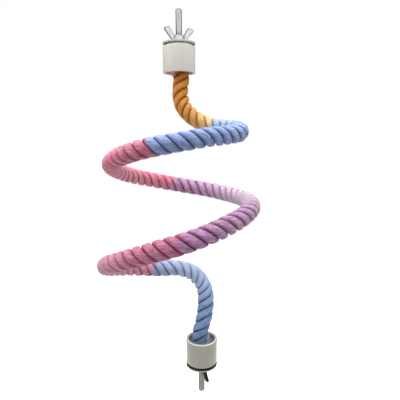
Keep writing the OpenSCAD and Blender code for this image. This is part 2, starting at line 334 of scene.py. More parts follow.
def spiral_knot(axis, turns):
    a = FIRST_ANGLE - 2 * math.pi * turns
    r = spiral_radius(turns)
    fall = spiral_fall(turns)
    c, s = math.cos(SPIRAL_LEAN), math.sin(SPIRAL_LEAN)
    return axis + np.array((r * math.cos(a), r * math.sin(a) * c - fall * s,
                            -r * math.sin(a) * s - fall * c))


def rope_line():
    """Points along the rope's middle, from its end in the top cap to its end in the bottom cap."""
    up = np.array((0, 0, 1.0))
    rope_top = np.array(TOP.mouth) + (ROPE_SHIFT["top"], 0, 0)
    rope_bottom = np.array(BOTTOM.mouth) + (ROPE_SHIFT["bottom"], 0, 0)
    axis = np.array(TOP.mouth) + (SPIRAL_RIGHT, -SPIRAL_FRONT, -SPIRAL_DROP)
    spiral = [spiral_knot(axis, i / KNOTS_PER_TURN) for i in range(SPIRAL_KNOTS)]
    lead_in = [rope_top + (spiral[0] - rope_top) * s for s in TOP_LEAD_SHARES]
    lead_out = [spiral[-1] + (rope_bottom - spiral[-1]) * s for s in BOTTOM_LEAD_SHARES]
    knots = np.array([rope_top + up * ROPE_IN_CAP, rope_top, *lead_in, *spiral, *lead_out,
                      rope_bottom, rope_bottom - up * ROPE_IN_CAP])
    steps_out = np.diff(knots, axis=0)
    span = np.linalg.norm(steps_out, axis=1, keepdims=True)
    slope = steps_out / span
    inner = (slope[:-1] * span[1:] + slope[1:] * span[:-1]) / (span[:-1] + span[1:])
    heading = np.concatenate([[-up], inner, [-up]])
    points = []
    for i in range(len(knots) - 1):
        t = np.linspace(0, 1, STEPS_PER_KNOT, endpoint=False)[:, None]
        points.append((2 * t ** 3 - 3 * t ** 2 + 1) * knots[i]
                      + (t ** 3 - 2 * t ** 2 + t) * span[i] * heading[i]
                      + (3 * t ** 2 - 2 * t ** 3) * knots[i + 1]
                      + (t ** 3 - t ** 2) * span[i] * heading[i + 1])
    return np.concatenate(points + [knots[-1:]]), axis


class Rope:
    """The rope's middle line by distance, with a frame square to it at every distance."""

    def __init__(self):
        self.points, self.axis = rope_line()
        steps_out = np.linalg.norm(np.diff(self.points, axis=0), axis=1)
        self.travelled = np.concatenate([[0], np.cumsum(steps_out)])
        self.length = self.travelled[-1]

    def middle(self, distance):
        clipped = np.clip(distance, 0, self.length)
        return np.stack([np.interp(clipped, self.travelled, self.points[:, k]) for k in range(3)], 1)

    def frames(self, distance):
        """Middle points and the unit vectors outward from the spiral's axis and across."""
        ahead = self.middle(distance + HEADING_REACH) - self.middle(distance - HEADING_REACH)
        ahead /= np.linalg.norm(ahead, axis=1, keepdims=True)
        middle = self.middle(distance)
        out = (middle - self.axis) * (1, 1, 0)
        out -= ahead * np.sum(out * ahead, axis=1, keepdims=True)
        out /= np.linalg.norm(out, axis=1, keepdims=True)
        return middle, out, np.cross(ahead, out)


ROPE = Rope()


# Noise, meshes and their attributes
def lattice_noise(x, y, seed):
    """Values from -1 to 1 that vary smoothly over one unit of x and of y, the same at each run."""
    size = 256
    table = np.random.default_rng(seed).uniform(-1, 1, (size, size))
    x0, y0 = np.floor(x).astype(int), np.floor(y).astype(int)
    fx, fy = x - x0, y - y0
    fx, fy = fx * fx * (3 - 2 * fx), fy * fy * (3 - 2 * fy)
    x0, y0, x1, y1 = x0 % size, y0 % size, (x0 + 1) % size, (y0 + 1) % size
    near = table[x0, y0] * (1 - fx) + table[x1, y0] * fx
    far = table[x0, y1] * (1 - fx) + table[x1, y1] * fx
    return near * (1 - fy) + far * fy


def mesh_piece(name, vertices, faces, material, body):
    """A new smooth mesh object that rides on a body and takes its finish from a slot."""
    mesh = bpy.data.meshes.new(name)
    mesh.from_pydata([tuple(v) for v in vertices], [], faces)
    mesh.update()
    mesh.shade_smooth()
    piece = bpy.data.objects.new(name, mesh)
    bpy.context.scene.collection.objects.link(piece)
    mesh.materials.append(material)
    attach(piece, body)
    return piece


def tube_faces(rings, sides):
    """Quads between rings of points, and an n-gon at each end."""
    faces = []
    for i in range(rings - 1):
        for k in range(sides):
            a, b = i * sides + k, i * sides + (k + 1) % sides
            faces.append((a, b, b + sides, a + sides))
    faces.append(tuple(range(sides - 1, -1, -1)))
    faces.append(tuple(range((rings - 1) * sides, rings * sides)))
    return faces


def set_attribute(piece, name, values):
    """One value for each vertex, which the piece's material reads by name: a number or a vector."""
    values = np.asarray(values, np.float32)
    if values.ndim == 1:
        values = np.repeat(values[:, None], 3, axis=1)
    attribute = piece.data.attributes.new(name, "FLOAT_VECTOR", "POINT")
    attribute.data.foreach_set("vector", values.ravel())


# Node materials
def linear(colour):
    """A colour of 0 to 255 as it is seen, as the shader takes it."""
    shares = [c / 255 for c in colour]
    return [s / 12.92 if s <= 0.04045 else ((s + 0.055) / 1.055) ** 2.4 for s in shares] + [1]


def grey(value):
    return (value, value, value)


def scaled(colour, share):
    """A colour of 0 to 255 multiplied by a share, and no brighter than white."""
    return [min(255, c * share) for c in colour]


BLACK, WHITE = grey(0), grey(255)


class Finish:
    """A node material and short calls for the nodes that the finishes share."""

    def __init__(self, name, roughness, metallic=0, specular=0.5):
        self.material = bpy.data.materials.new(name)
        self.material.use_nodes = True
        self.tree = self.material.node_tree
        self.shader = self.tree.nodes["Principled BSDF"]
        self.set("Roughness", roughness)
        self.set("Metallic", metallic)
        self.set("Specular IOR Level", specular)

    def set(self, socket, value):
        self.shader.inputs[socket].default_value = value

    def glow(self, shares, depth, weight):
        """Light that runs under the surface."""
        self.set("Subsurface Radius", shares)
        self.set("Subsurface Scale", depth)
        self.set("Subsurface Weight", weight)

    def node(self, kind, **values):
        made = self.tree.nodes.new(kind)
        for key, value in values.items():
            if key in made.inputs:
                made.inputs[key].default_value = value
            else:
                setattr(made, key, value)
        return made

    def link(self, output, target):
        self.tree.links.new(output, target)

    def place(self):
        """Places on the piece, in metres."""
        return self.node("ShaderNodeTexCoord").outputs["Object"]

    def attribute(self, name, output="Fac"):
        return self.node("ShaderNodeAttribute", attribute_name=name).outputs[output]

    def noise(self, vector, scale, detail=3, rough=0.55):
        made = self.node("ShaderNodeTexNoise", Scale=scale, Detail=detail, Roughness=rough)
        self.link(vector, made.inputs["Vector"])
        return made.outputs["Fac"]

    def drawn_noise(self, vector, rate, detail=3, rough=0.55):
        """Noise with its own rate along each axis."""
        made = self.node("ShaderNodeMapping", Scale=rate)
        self.link(vector, made.inputs["Vector"])
        return self.noise(made.outputs["Vector"], 1, detail, rough)

    def ramp(self, factor, stops):
        """Stops are pairs of a place from 0 to 1 and a colour as it is seen."""
        made = self.node("ShaderNodeValToRGB")
        elements = made.color_ramp.elements
        while len(elements) < len(stops):
            elements.new(1)
        for element, (at, colour) in zip(elements, stops):
            element.position = at
            element.color = linear(colour)
        self.link(factor, made.inputs["Fac"])
        return made.outputs["Color"]

    def fill(self, sockets, values):
        """Links each output to its socket and sets each plain value on it."""
        for socket, value in zip(sockets, values):
            if isinstance(value, bpy.types.NodeSocket):
                self.link(value, socket)
            else:
                socket.default_value = value

    def math(self, operation, a, b):
        made = self.node("ShaderNodeMath", operation=operation)
        self.fill(made.inputs, (a, b))
        return made.outputs[0]

    def product(self, first, *others):
        for other in others:
            first = self.math("MULTIPLY", first, other)
        return first

    def mix(self, factor, a, b, blend="MIX"):
        made = self.node("ShaderNodeMix", data_type="RGBA", blend_type=blend)
        self.fill((made.inputs[0], made.inputs[6], made.inputs[7]), (factor, a, b))
        return made.outputs[2]

    def bump(self, height, distance, strength, under=None):
        made = self.node("ShaderNodeBump", Strength=strength, Distance=distance)
        self.link(height, made.inputs["Height"])
        if under:
            self.link(under, made.inputs["Normal"])
        return made.outputs["Normal"]

    def feed(self, socket, output):
        self.link(output, self.shader.inputs[socket])


def band_stops(ends):
    """A ramp's stops for the bands along one strand, with a short blend where two bands meet."""
    length, blur = ROPE.length / MM, BAND_BLUR / MM / 2
    stops = []
    for (_, first, inner, last), start, end in zip(BANDS, [0, *ends], ends):
        stops.append(((start + blur) / length, first))
        stops += [(at / length, colour) for at, colour in inner]
        stops.append((min(1, (end - blur) / length), last))
    return stops


def cotton(name, ends):
    """Dyed cotton: bands of colour along the rope, fine fibres along each strand, soft sheen, painted
    shade in the grooves and where yarns meet.
    """
    finish = Finish(name, roughness=0.95, specular=0.15)
    finish.set("Sheen Roughness", 0.6)
    finish.glow(PALE_GLOW_SHARES, COTTON_GLOW, weight=0.12)
    # The attribute holds millimetres along the rope, millimetres across the yarns, and the strand
    fibre = finish.attribute("fibre", "Vector")
    parts = finish.node("ShaderNodeSeparateXYZ")
    finish.link(fibre, parts.inputs[0])
    ragged = finish.drawn_noise(fibre, RAGGED_RATE, detail=2)
    along = finish.math("ADD", parts.outputs["X"], finish.product(ragged, BAND_BLUR / MM))
    share = finish.math("DIVIDE", along, ROPE.length / MM)
    # The band colours: partly the dye, partly painted light and shade along the rope
    band_colour = finish.ramp(share, band_stops(ends))
    deep = finish.mix(DEEP_SHARE, band_colour, band_colour, "MULTIPLY")
    # Yarns side by side, each a round ridge that wanders
    wander = finish.drawn_noise(fibre, WANDER_RATE, detail=2)
    across = finish.math("DIVIDE", parts.outputs["Y"], YARN_W / MM)
    across = finish.math("ADD", across, finish.product(wander, WANDER_YARNS))
    ridge = finish.math("POWER", finish.math("PINGPONG", across, 0.5), YARN_POWER)
    # Streaks of paler and deeper fibres along the yarns
    streaks = finish.drawn_noise(fibre, STREAK_RATE, detail=3, rough=0.6)
    patches = finish.drawn_noise(fibre, PATCH_RATE, detail=2)
    streaky = finish.ramp(share, [(at * MM / ROPE.length, grey(value)) for at, value in STREAKY])
    lines = finish.ramp(streaks, ((0.5, BLACK), (0.7, WHITE)))
    pale = finish.mix(finish.product(lines, streaky, PALE_SHARE), band_colour, linear(grey(PALE_GREY)))
    toned = finish.mix(finish.product(patches, PATCH_SHARE), pale, band_colour)
    dark = finish.ramp(streaks, ((0.34, WHITE), (0.5, BLACK)))
    streaked = finish.mix(finish.product(dark, streaky, DARK_SHARE), toned, deep)
    # The attribute holds how near a groove is; the colour goes deeper there as painted shade
    valley = finish.attribute("valley")
    painted_groove_shade = finish.ramp(valley, ((0.1, BLACK), (0.5, grey(110)), (0.8, grey(185)), (0.98, grey(225))))
    groove_shaded = finish.mix(painted_groove_shade, streaked, finish.mix(GROOVE_SHADE_SHARE, deep, band_colour, "MULTIPLY"))
    # Painted shade: the colour goes deeper where the yarns meet.
    painted_seam_shade = finish.ramp(ridge, ((0.1, grey(110)), (0.45, BLACK)))
    finish.feed("Base Color", finish.mix(painted_seam_shade, groove_shaded, deep))
    # Fuzz on the raised fibres scatters light; none stands up in the grooves
    raised = finish.ramp(streaks, ((0.4, BLACK), (0.66, WHITE)))
    finish.feed("Sheen Weight", finish.product(raised, finish.math("SUBTRACT", 1, painted_groove_shade), streaky))
    hair = finish.drawn_noise(fibre, HAIR_RATE, detail=4, rough=0.7)
    soft = finish.bump(ridge, YARN_H, strength=0.7)
    soft = finish.bump(streaks, STREAK_H, strength=0.8, under=soft)
    finish.feed("Normal", finish.bump(hair, HAIR_H, strength=0.5, under=soft))
    return finish.material


def satin_plastic(name, colour, painted_lit_ring_colour):
    """Moulded plastic: a hint of flow marks, fine scuffs in its gloss, a paler ring painted inside the
    mouth as painted light.
    """
    finish = Finish(name, roughness=0.4, specular=0.25)
    finish.glow(PALE_GLOW_SHARES, PLASTIC_GLOW, weight=0.05)
    place_on = finish.place()
    flow = finish.noise(place_on, FLOW_RATE)
    tint = finish.ramp(flow, ((0.3, scaled(colour, 0.97)), (0.7, colour)))
    # Painted light: where the attribute is 1, the paler ring brightens the wall that the cup shades.
    finish.feed("Base Color", finish.mix(finish.attribute("rim"), tint, linear(painted_lit_ring_colour)))
    scuffs = finish.drawn_noise(place_on, SCUFF_RATE, detail=4, rough=0.7)
    finish.feed("Roughness", finish.ramp(scuffs, ((0.35, grey(120)), (0.75, grey(160)))))
    grain = finish.noise(place_on, PLASTIC_GRAIN_RATE, detail=2)
    finish.feed("Normal", finish.bump(grain, PLASTIC_GRAIN_H, strength=0.06))
    return finish.material


def zinc(name, colour, roughness, painted_shelter_shade, metallic=1):
    """Zinc plate: cloudy, with grain in its gloss, a painted dark band on rims and painted shade where
    it is sheltered.
    """
    finish = Finish(name, roughness=roughness, metallic=metallic)
    finish.set("Specular Tint", linear(grey(SLANT_GREY)))
    place_on = finish.place()
    clouds = finish.noise(place_on, CLOUD_RATE)
    plate = finish.ramp(clouds, ((0.25, scaled(colour, 0.9)), (0.75, colour)))
    # Painted shade: the plate darkens where ambient occlusion finds other surfaces near, in hollows and
    # joins.
    shelter = finish.node("ShaderNodeAmbientOcclusion", Distance=SHELTER_REACH, samples=8)
    shelter_shade = finish.ramp(shelter.outputs["AO"], ((0.3, grey(110)), (0.9, WHITE)))
    sheltered_plate = finish.mix(painted_shelter_shade, plate, shelter_shade, "MULTIPLY")
    # Painted dark reflection: where the attribute is 1, the plate darkens on the band round each wing's
    # edge.
    toned = finish.mix(1, plate, linear(PAINTED_DARK_EDGE), "MULTIPLY")
    finish.feed("Base Color", finish.mix(finish.attribute("rim"), sheltered_plate, toned))
    grain = finish.noise(place_on, ZINC_GRAIN_RATE, rough=0.7)
    smooth, coarse = [grey(roughness * value) for value in GLOSS_GREYS]
    finish.feed("Roughness", finish.ramp(grain, ((0.3, smooth), (0.8, coarse))))
    dents = finish.bump(clouds, DENT_H, strength=0.12)
    finish.feed("Normal", finish.bump(grain, ZINC_GRAIN_H, strength=0.15, under=dents))
    return finish.material


def hot_glue(name, colour):
    """Set glue: half clear, with bubbles and wisps."""
    finish = Finish(name, roughness=0.32)
    finish.glow(GLUE_GLOW_SHARES, GLUE_GLOW, weight=0.2)
    wisps = finish.noise(finish.place(), WISP_RATE, detail=4, rough=0.6)
    stops = ((0.3, scaled(colour, 0.72)), (0.62, colour), (0.8, scaled(colour, 1.14)))
    finish.feed("Base Color", finish.ramp(wisps, stops))
    finish.feed("Normal", finish.bump(wisps, WISP_H, strength=0.5))
    return finish.material


def cloth_tape(name, colour):
    """Cloth tape: a fine ribbed weave."""
    finish = Finish(name, roughness=0.9, specular=0.2)
    weave = finish.node("ShaderNodeTexWave", Scale=WEAVE_RATE, wave_type="BANDS", bands_direction="Z")
    finish.link(finish.place(), weave.inputs["Vector"])
    ribs = weave.outputs["Fac"]
    finish.feed("Base Color", finish.ramp(ribs, ((0, scaled(colour, 0.85)), (1, colour))))
    finish.feed("Normal", finish.bump(ribs, WEAVE_H, strength=0.4))
    return finish.material


def drawn_wire(name, colour):
    """Drawn steel wire: fine lines along its length."""
    finish = Finish(name, roughness=0.4, metallic=1)
    lines = finish.drawn_noise(finish.place(), DRAWN_RATE)
    finish.feed("Base Color", finish.ramp(lines, ((0.3, scaled(colour, 0.85)), (0.7, colour))))
    finish.feed("Normal", finish.bump(lines, DRAWN_H, strength=0.2))
    return finish.material


# The bottom end's cap, bolt, washers and wing nut are darker copies of the top's finishes: painted shade
# for the lower end, which lies in less light. The bottom wing nut is darkest, as painted shade below the
# washer.
WHITE_CAP = {"top": satin_plastic("top_white_cap", (224, 223, 213), (250, 236, 230)),
             "bottom": satin_plastic("bottom_cap_painted_shade", (188, 185, 172), (228, 228, 220))}
METAL = {
    "top": {"bolt": zinc("top_bolt_zinc", (214, 216, 214), 0.35, painted_shelter_shade=0.3),
            "wing_nut": zinc("top_nut_zinc", (236, 236, 232), 0.3, painted_shelter_shade=1),
            "inner_washer": zinc("top_inner_washer_zinc", (224, 225, 218), 0.5, 0.2, metallic=0.6),
            "outer_washer": zinc("top_outer_washer_zinc", (206, 208, 196), 0.6, 0, metallic=0.3)},
    "bottom": {"bolt": zinc("bottom_bolt_zinc_painted_shade", (158, 158, 144), 0.5, painted_shelter_shade=0.4),
               "wing_nut": zinc("bottom_nut_zinc_painted_shade", (96, 94, 92), 0.3, painted_shelter_shade=0.8),
               "inner_washer": zinc("bottom_inner_washer_zinc_painted_shade", (110, 110, 98), 0.6, painted_shelter_shade=0.6),
               "outer_washer": zinc("bottom_outer_washer_zinc_painted_shade", (140, 140, 126), 0.6, painted_shelter_shade=0.3)},
}
# The bottom fill is a darker, greyer copy of the glue that the string shows: painted shade inside the
# cup.
GLUE = {"top": hot_glue("top_hot_glue", (228, 182, 178)),
        "bottom": hot_glue("bottom_hot_glue_painted_shade", (158, 165, 170)),
        "string": hot_glue("glue_string", (232, 236, 238))}
TAPE = cloth_tape("cloth_tape", (205, 186, 152))
WIRE = drawn_wire("drawn_wire", (170, 170, 168))


# Rope
def strand_outline():
    """A third of the rope's section: a plump crest, round corners at the grooves and two flat sides.
    Returns its points, how far each lies along the outline from the crest's middle, and a 1 for each
    point that shows."""
    gap = STRAND_GAP / 2
    sector = math.pi / STRANDS
    side = np.array((math.cos(sector), math.sin(sector)))
    away = np.array((math.sin(sector), -math.cos(sector)))
    # The crest is an arc of a smaller circle than the rope's, so that each strand stands out
    crest_r = ROPE_R * STRAND_PLUMP_SHARE
    crest_x = ROPE_R - crest_r
    # The corner touches the crest's arc from inside, and the flat side
    reach = np.linspace(0, ROPE_R, CORNER_TRIES)
    centres = side * reach[:, None] + away * (gap + STRAND_CORNER_R)
    off = np.abs(np.linalg.norm(centres - (crest_x, 0), axis=1) - (crest_r - STRAND_CORNER_R))
    corner = centres[np.argmin(off)]
    meet = math.atan2(corner[1], corner[0] - crest_x)
    leave = sector + math.pi / 2
    crest = np.linspace(0, meet, max(2, round(crest_r * meet / OUTLINE_STEP)), endpoint=False)
    turn = np.linspace(meet, leave, round(STRAND_CORNER_R * (leave - meet) / OUTLINE_STEP))
    half = np.concatenate([
        np.stack([crest_x + crest_r * np.cos(crest), crest_r * np.sin(crest)], 1),
        corner + STRAND_CORNER_R * np.stack([np.cos(turn), np.sin(turn)], 1)])
    inner = side * STRAND_INSIDE_R + away * gap
    inside = np.array([inner, (inner[0] * STRAND_NOSE_SHARE, 0), (inner[0], -inner[1])])
    lower = half[:0:-1] * (1, -1)
    outline = np.concatenate([half, inside, lower])
    reach = np.concatenate([[0], np.cumsum(np.linalg.norm(np.diff(half, axis=0), axis=1))])
    across = np.concatenate([reach, [reach[-1]] * len(inside), -reach[:0:-1]])
    shown = np.concatenate([np.ones(len(half)), np.zeros(len(inside)), np.ones(len(lower))])
    return outline, across, shown


def outward(outline):
    """The unit direction square to a closed outline at each of its points."""
    around = np.roll(outline, -1, axis=0) - np.roll(outline, 1, axis=0)
    normal = np.stack([around[:, 1], -around[:, 0]], 1)
    return normal / np.linalg.norm(normal, axis=1, keepdims=True)


def eased(pairs, distance):
    """Values that pass softly from one pair of a distance in millimetres and a value to the next."""
    places, values = np.array(pairs).T
    steps = np.linspace(-EASE_REACH, EASE_REACH, EASE_SAMPLES)
    return np.mean([np.interp(distance / MM + step, places, values) for step in steps], axis=0)


def strand(name, phase, seed, material):
    """One strand from end to end, wound about the rope's middle line."""
    outline, across, shown = strand_outline()
    rings = round(ROPE.length / RING_STEP) + 1
    distance = np.linspace(0, ROPE.length, rings)
    middle, out, side = ROPE.frames(distance)
    turn = phase + 2 * math.pi * distance / LAY - np.radians(eased(WOUND_BACK, distance))
    thick = eased(THICKNESS_SHARES, distance)[:, None]
    d, s = np.meshgrid(distance / MM, across / MM, indexing="ij")
    coarse = lattice_noise(d / COARSE_PUFF[0], s / COARSE_PUFF[1], seed)
    fine = lattice_noise(d / FINE_PUFF[0], s / FINE_PUFF[1], seed + 1)
    height = shown * PUFF_H * (coarse + FINE_PUFF_SHARE * fine)
    flat = outline[None] + outward(outline)[None] * height[..., None]
    c, sn = np.cos(turn)[:, None], np.sin(turn)[:, None]
    a = (flat[..., 0] * c - flat[..., 1] * sn) * thick
    b = (flat[..., 0] * sn + flat[..., 1] * c) * thick
    points = middle[:, None] + out[:, None] * a[..., None] + side[:, None] * b[..., None]
    piece = mesh_piece(name, points.reshape(-1, 3), tube_faces(rings, len(outline)), material, "root")
    fibre = np.stack([d, s + d * YARN_DRIFT, np.full_like(d, SEED_STEP * seed)], -1)
    set_attribute(piece, "fibre", fibre)
    set_attribute(piece, "valley", (np.abs(s) / np.abs(s).max()).ravel())
    return piece


for k, (letter, seed) in enumerate(STRAND_SEEDS.items()):
    ends = [band_ends[k] for band_ends, *_ in BANDS]
    phase = 2 * math.pi * k / STRANDS
    piece = strand("rope_strand_" + letter, phase, seed, cotton("cotton_" + letter, ends))
    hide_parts("strand_" + letter)


# Turned pieces
def rounded(points, radii):
    """The outline through points with each corner rounded by its radius."""
    points = [Vector(p) for p in points]
    made = []
    for i, corner in enumerate(points):
        radius = radii[i]
        before, after = points[i - 1] - corner, points[(i + 1) % len(points)] - corner
        if radius == 0:
            made.append(tuple(corner))
            continue
        half = before.angle(after) / 2
        before.normalize()
        after.normalize()
        run = radius / math.tan(half)
        start, end = corner + before * run, corner + after * run
        centre = corner + (before + after).normalized() * radius / math.sin(half)
        first = math.atan2(start.y - centre.y, start.x - centre.x)
        sweep = math.atan2(end.y - centre.y, end.x - centre.x) - first
        sweep = (sweep + math.pi) % (2 * math.pi) - math.pi
        for k in range(ROUND_STEPS + 1):
            a = first + sweep * k / ROUND_STEPS
            made.append((centre.x + radius * math.cos(a), centre.y + radius * math.sin(a)))
    return made


def turned(end, name, outline, material, body):
    """A ring: a closed outline of radius and local height, turned round the end's axis."""
    angles = np.linspace(0, 2 * math.pi, AROUND, endpoint=False)
    outline = np.array(outline)
    local = np.stack([
        outline[None, :, 0] * np.cos(angles)[:, None],
        outline[None, :, 0] * np.sin(angles)[:, None],
        np.broadcast_to(outline[None, :, 1], (AROUND, len(outline)))], -1)
    sides = len(outline)
    faces = []
    for i in range(AROUND):
        for k in range(sides):
            a, b = i * sides + k, i * sides + (k + 1) % sides
            c, d = (i + 1) % AROUND * sides + (k + 1) % sides, (i + 1) % AROUND * sides + k
            faces.append((a, b, c, d))
    return mesh_piece(name, end.world(local.reshape(-1, 3)), faces, material, body)


def cap(end):
    """A cap, open at the mouth and closed round the bolt. The attribute is 1 on the paler ring painted
    inside the mouth as painted light on the shaded wall.
    """
    inner_r = end.cap_r - CAP_WALL
    floor_z = end.cap_h - CAP_WALL
    outline = rounded(
        [(inner_r, 0), (end.cap_r, 0), (end.cap_r, end.cap_h), (HOLE_R, end.cap_h), (HOLE_R, floor_z),
         (inner_r, floor_z), (inner_r, PAINTED_LIT_RING_H + PAINTED_LIT_RING_BLUR), (inner_r, PAINTED_LIT_RING_H)],
        [RIM_ROUND, RIM_ROUND, CAP_ROUND, 0, 0, RIM_ROUND, 0, 0])
    name = end.name + "_cap"
    piece = turned(end, name + "_shell", outline, WHITE_CAP[end.name], "root")
    # The paler ring, painted light on the inner wall near the mouth, where the cup's shade falls
    painted_lit_ring = [r < end.cap_r - RIM_ROUND / 2 and h < PAINTED_LIT_RING_H + PAINTED_LIT_RING_BLUR / 2 for r, h in outline]
    set_attribute(piece, "rim", painted_lit_ring * AROUND)
    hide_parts(name)


def washer(end, node, body):
    low, high = end.local(node)
    rim_r = end.radius(node)
    outline = rounded([(HOLE_R, low), (rim_r, low), (rim_r, high), (HOLE_R, high)], WASHER_ROUNDS)
    name = end.name + "_" + node
    piece = turned(end, name + "_disc", outline, METAL[end.name][node], body)
    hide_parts(name)


def round_about(radius, height, corners):
    """Points at even angles round the axis, at one radius and height."""
    angles = np.linspace(0, 2 * math.pi, corners, endpoint=False)
    return np.stack([radius * np.cos(angles), radius * np.sin(angles), np.full(corners, height)], -1)


def thread(start_z, tip_z):
    """Rings of points from one local height to the bolt's tip: the thread winds through them, fades
    out at both ends and gives way to the round tip."""
    dome_z = tip_z - TIP_H
    heights = np.concatenate([
        [start_z], np.arange(start_z, dome_z, THREAD_PITCH / RINGS_PER_PITCH),
        dome_z + TIP_H * np.sin(np.linspace(0, math.pi / 2 * TIP_ROUND_SHARE, TIP_RINGS))])
    angles = np.linspace(0, 2 * math.pi, BOLT_AROUND, endpoint=False)
    z, a = np.meshgrid(heights, angles, indexing="ij")
    turn = (z / THREAD_PITCH - a / (2 * math.pi)) % 1
    depth = np.clip(np.abs(2 * turn - 1) * FLANK_SHARE - CREST_SHARE, 0, 1)
    fade = np.clip((dome_z + FADE_PAST - z) / FADE_OUT, 0, 1) * np.clip((z - start_z) / FADE_IN, 0, 1)
    dome = np.sqrt(np.clip(1 - (np.clip(z - dome_z, 0, None) / TIP_H) ** 2, 0, 1))
    r = BOLT_R * dome - THREAD_DEPTH * depth * fade
    return np.stack([r * np.cos(a), r * np.sin(a), z], -1)


def bolt(end):
    """A hexagon head inside the cap and a rolled thread that fades into a round tip."""
    name = end.name + "_bolt"
    head_z, tip_z = end.local("bolt")
    low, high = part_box(name)
    head_r = (high.y - low.y) / 2 / math.cos(math.pi / HEAD_CORNERS)
    head = [round_about(head_r * r_share, head_z + HEAD_H * z_share, HEAD_CORNERS)
            for r_share, z_share in HEAD_SHARES]
    shank = [round_about(SHANK_R, head_z + HEAD_H * z_share, SHANK_AROUND)
             for z_share in SHANK_SHARES]
    points, faces = [], []
    for rings in (thread(end.local("inner_washer")[0] - THREAD_HIDDEN, tip_z), head, shank):
        count = sum(len(part) for part in points)
        faces += [tuple(i + count for i in face) for face in tube_faces(len(rings), len(rings[0]))]
        points.append(np.concatenate(rings))
    vertices = end.world(np.concatenate(points))
    material = METAL[end.name]["bolt"]
    piece = mesh_piece(name + "_threaded", vertices, faces, material, "root")
    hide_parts(name)


def hull(points):
    """Corners of the convex outline of points, anticlockwise."""
    order = sorted(map(tuple, points))

    def half(run):
        made = []
        for p in run:
            while len(made) > 1 and ((made[-1][0] - made[-2][0]) * (p[1] - made[-2][1])
                                     - (made[-1][1] - made[-2][1]) * (p[0] - made[-2][0])) <= 0:
                made.pop()
            made.append(p)
        return made[:-1]

    return np.array(half(order) + half(order[::-1]))


def wing_outline(side):
    """Points round one wing in the plane through the bolt's axis: an ear that leans outward."""
    tip_x, tip_z = WING_SPAN / 2 - WING_TIP_R, WING_H - WING_TIP_R
    circles = [(tip_x * x_share, tip_z * z_share, WING_TIP_R) for x_share, z_share in EAR_SHARES]
    circles += [(hub_r, HUB_H * z_share, HUB_H * r_share)
                for hub_r, (z_share, r_share) in zip((HUB_R, HUB_TOP_R), ROOT_SHARES)]
    angles = np.linspace(0, 2 * math.pi, WING_AROUND, endpoint=False)
    points = np.concatenate([np.stack([x + r * np.cos(angles), z + r * np.sin(angles)], 1)
                             for x, z, r in circles])
    return hull(points) * (side, 1)


def wing_rings(side, turn, base):
    """Rings of points across one wing's thickness, round at its edges, with the wing turned about
    the bolt's axis."""
    outline = wing_outline(side)
    reach = np.clip((np.abs(outline[:, 0]) - HUB_R) / (WING_SPAN / 2 - HUB_R), 0, 1)
    half = (WING_T + (WING_TIP_T - WING_T) * reach) / 2
    inward = outline.mean(0) - outline
    inward /= np.linalg.norm(inward, axis=1, keepdims=True)
    c, s = math.cos(turn), math.sin(turn)
    rings = []
    for slope in np.radians(EDGE_SLOPES):
        inset = WING_EDGE_R * (1 - math.cos(slope))
        flat = outline + inward * inset
        x, y = flat[:, 0], half * math.sin(slope)
        rings.append(np.stack([x * c - y * s, x * s + y * c, flat[:, 1] + base], 1))
    return rings


def closed_line(points, step):
    """Points at even steps along a closed line."""
    points = np.concatenate([points, points[:1]])
    run = np.concatenate([[0], np.cumsum(np.linalg.norm(np.diff(points, axis=0), axis=1))])
    at = np.arange(0, run[-1], step)
    return np.stack([np.interp(at, run, points[:, i]) for i in range(points.shape[1])], 1)


def cast(parts):
    """Joins mesh objects into the first and runs their surfaces together with soft edges."""
    piece = parts[0]
    bpy.ops.object.select_all(action="DESELECT")
    for part in parts:
        part.select_set(True)
    bpy.context.view_layer.objects.active = piece
    bpy.ops.object.join()
    bpy.ops.object.mode_set(mode="EDIT")
    bpy.ops.mesh.select_all(action="SELECT")
    bpy.ops.mesh.normals_make_consistent(inside=False)
    bpy.ops.object.mode_set(mode="OBJECT")
    remesh = piece.modifiers.new("cast", "REMESH")
    remesh.mode = "VOXEL"
    remesh.voxel_size = CAST_STEP
    remesh.use_smooth_shade = True
    smooth = piece.modifiers.new("soften", "SMOOTH")
    smooth.factor = CAST_SMOOTHING
    smooth.iterations = CAST_ROUNDS
    for modifier in ("cast", "soften"):
        bpy.ops.object.modifier_apply(modifier=modifier)
    return piece


def wing_nut(end):
    """A cast wing nut: its hub and wings run into one another. The attribute is 1 on the band painted
    darker round each wing, a painted dark reflection at its edge."""
    name = end.name + "_wing_nut"
    body = end.name + "_nut"
    material = METAL[end.name]["wing_nut"]
    base, _ = end.local("wing_nut")
    corners = [(NUT_BORE_R, 0), (HUB_R, 0), (HUB_TOP_R, HUB_H), (NUT_BORE_R, HUB_H)]
    hub = [(r, z + base) for r, z in rounded(corners, HUB_ROUNDS)]
    parts = [turned(end, name + "_cast", hub, material, body)]
    edges = []
    for side in (1, -1):
        rings = [end.world(ring) for ring in wing_rings(side, NUT_TURN[end.name], base)]
        points, faces = np.concatenate(rings), tube_faces(len(rings), len(rings[0]))
        parts.append(mesh_piece(name + "_wing", points, faces, material, body))
        edges.append(closed_line(rings[len(rings) // 2], EDGE_STEP))
    piece = cast(parts)
    edges = np.concatenate(edges)
    off = [np.linalg.norm(edges - vertex.co, axis=1).min() for vertex in piece.data.vertices]
    # The band painted darker round each wing's edge, a painted dark reflection
    set_attribute(piece, "rim", np.clip((EDGE_W - np.array(off)) / EDGE_BLUR, 0, 1))
    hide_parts(name)


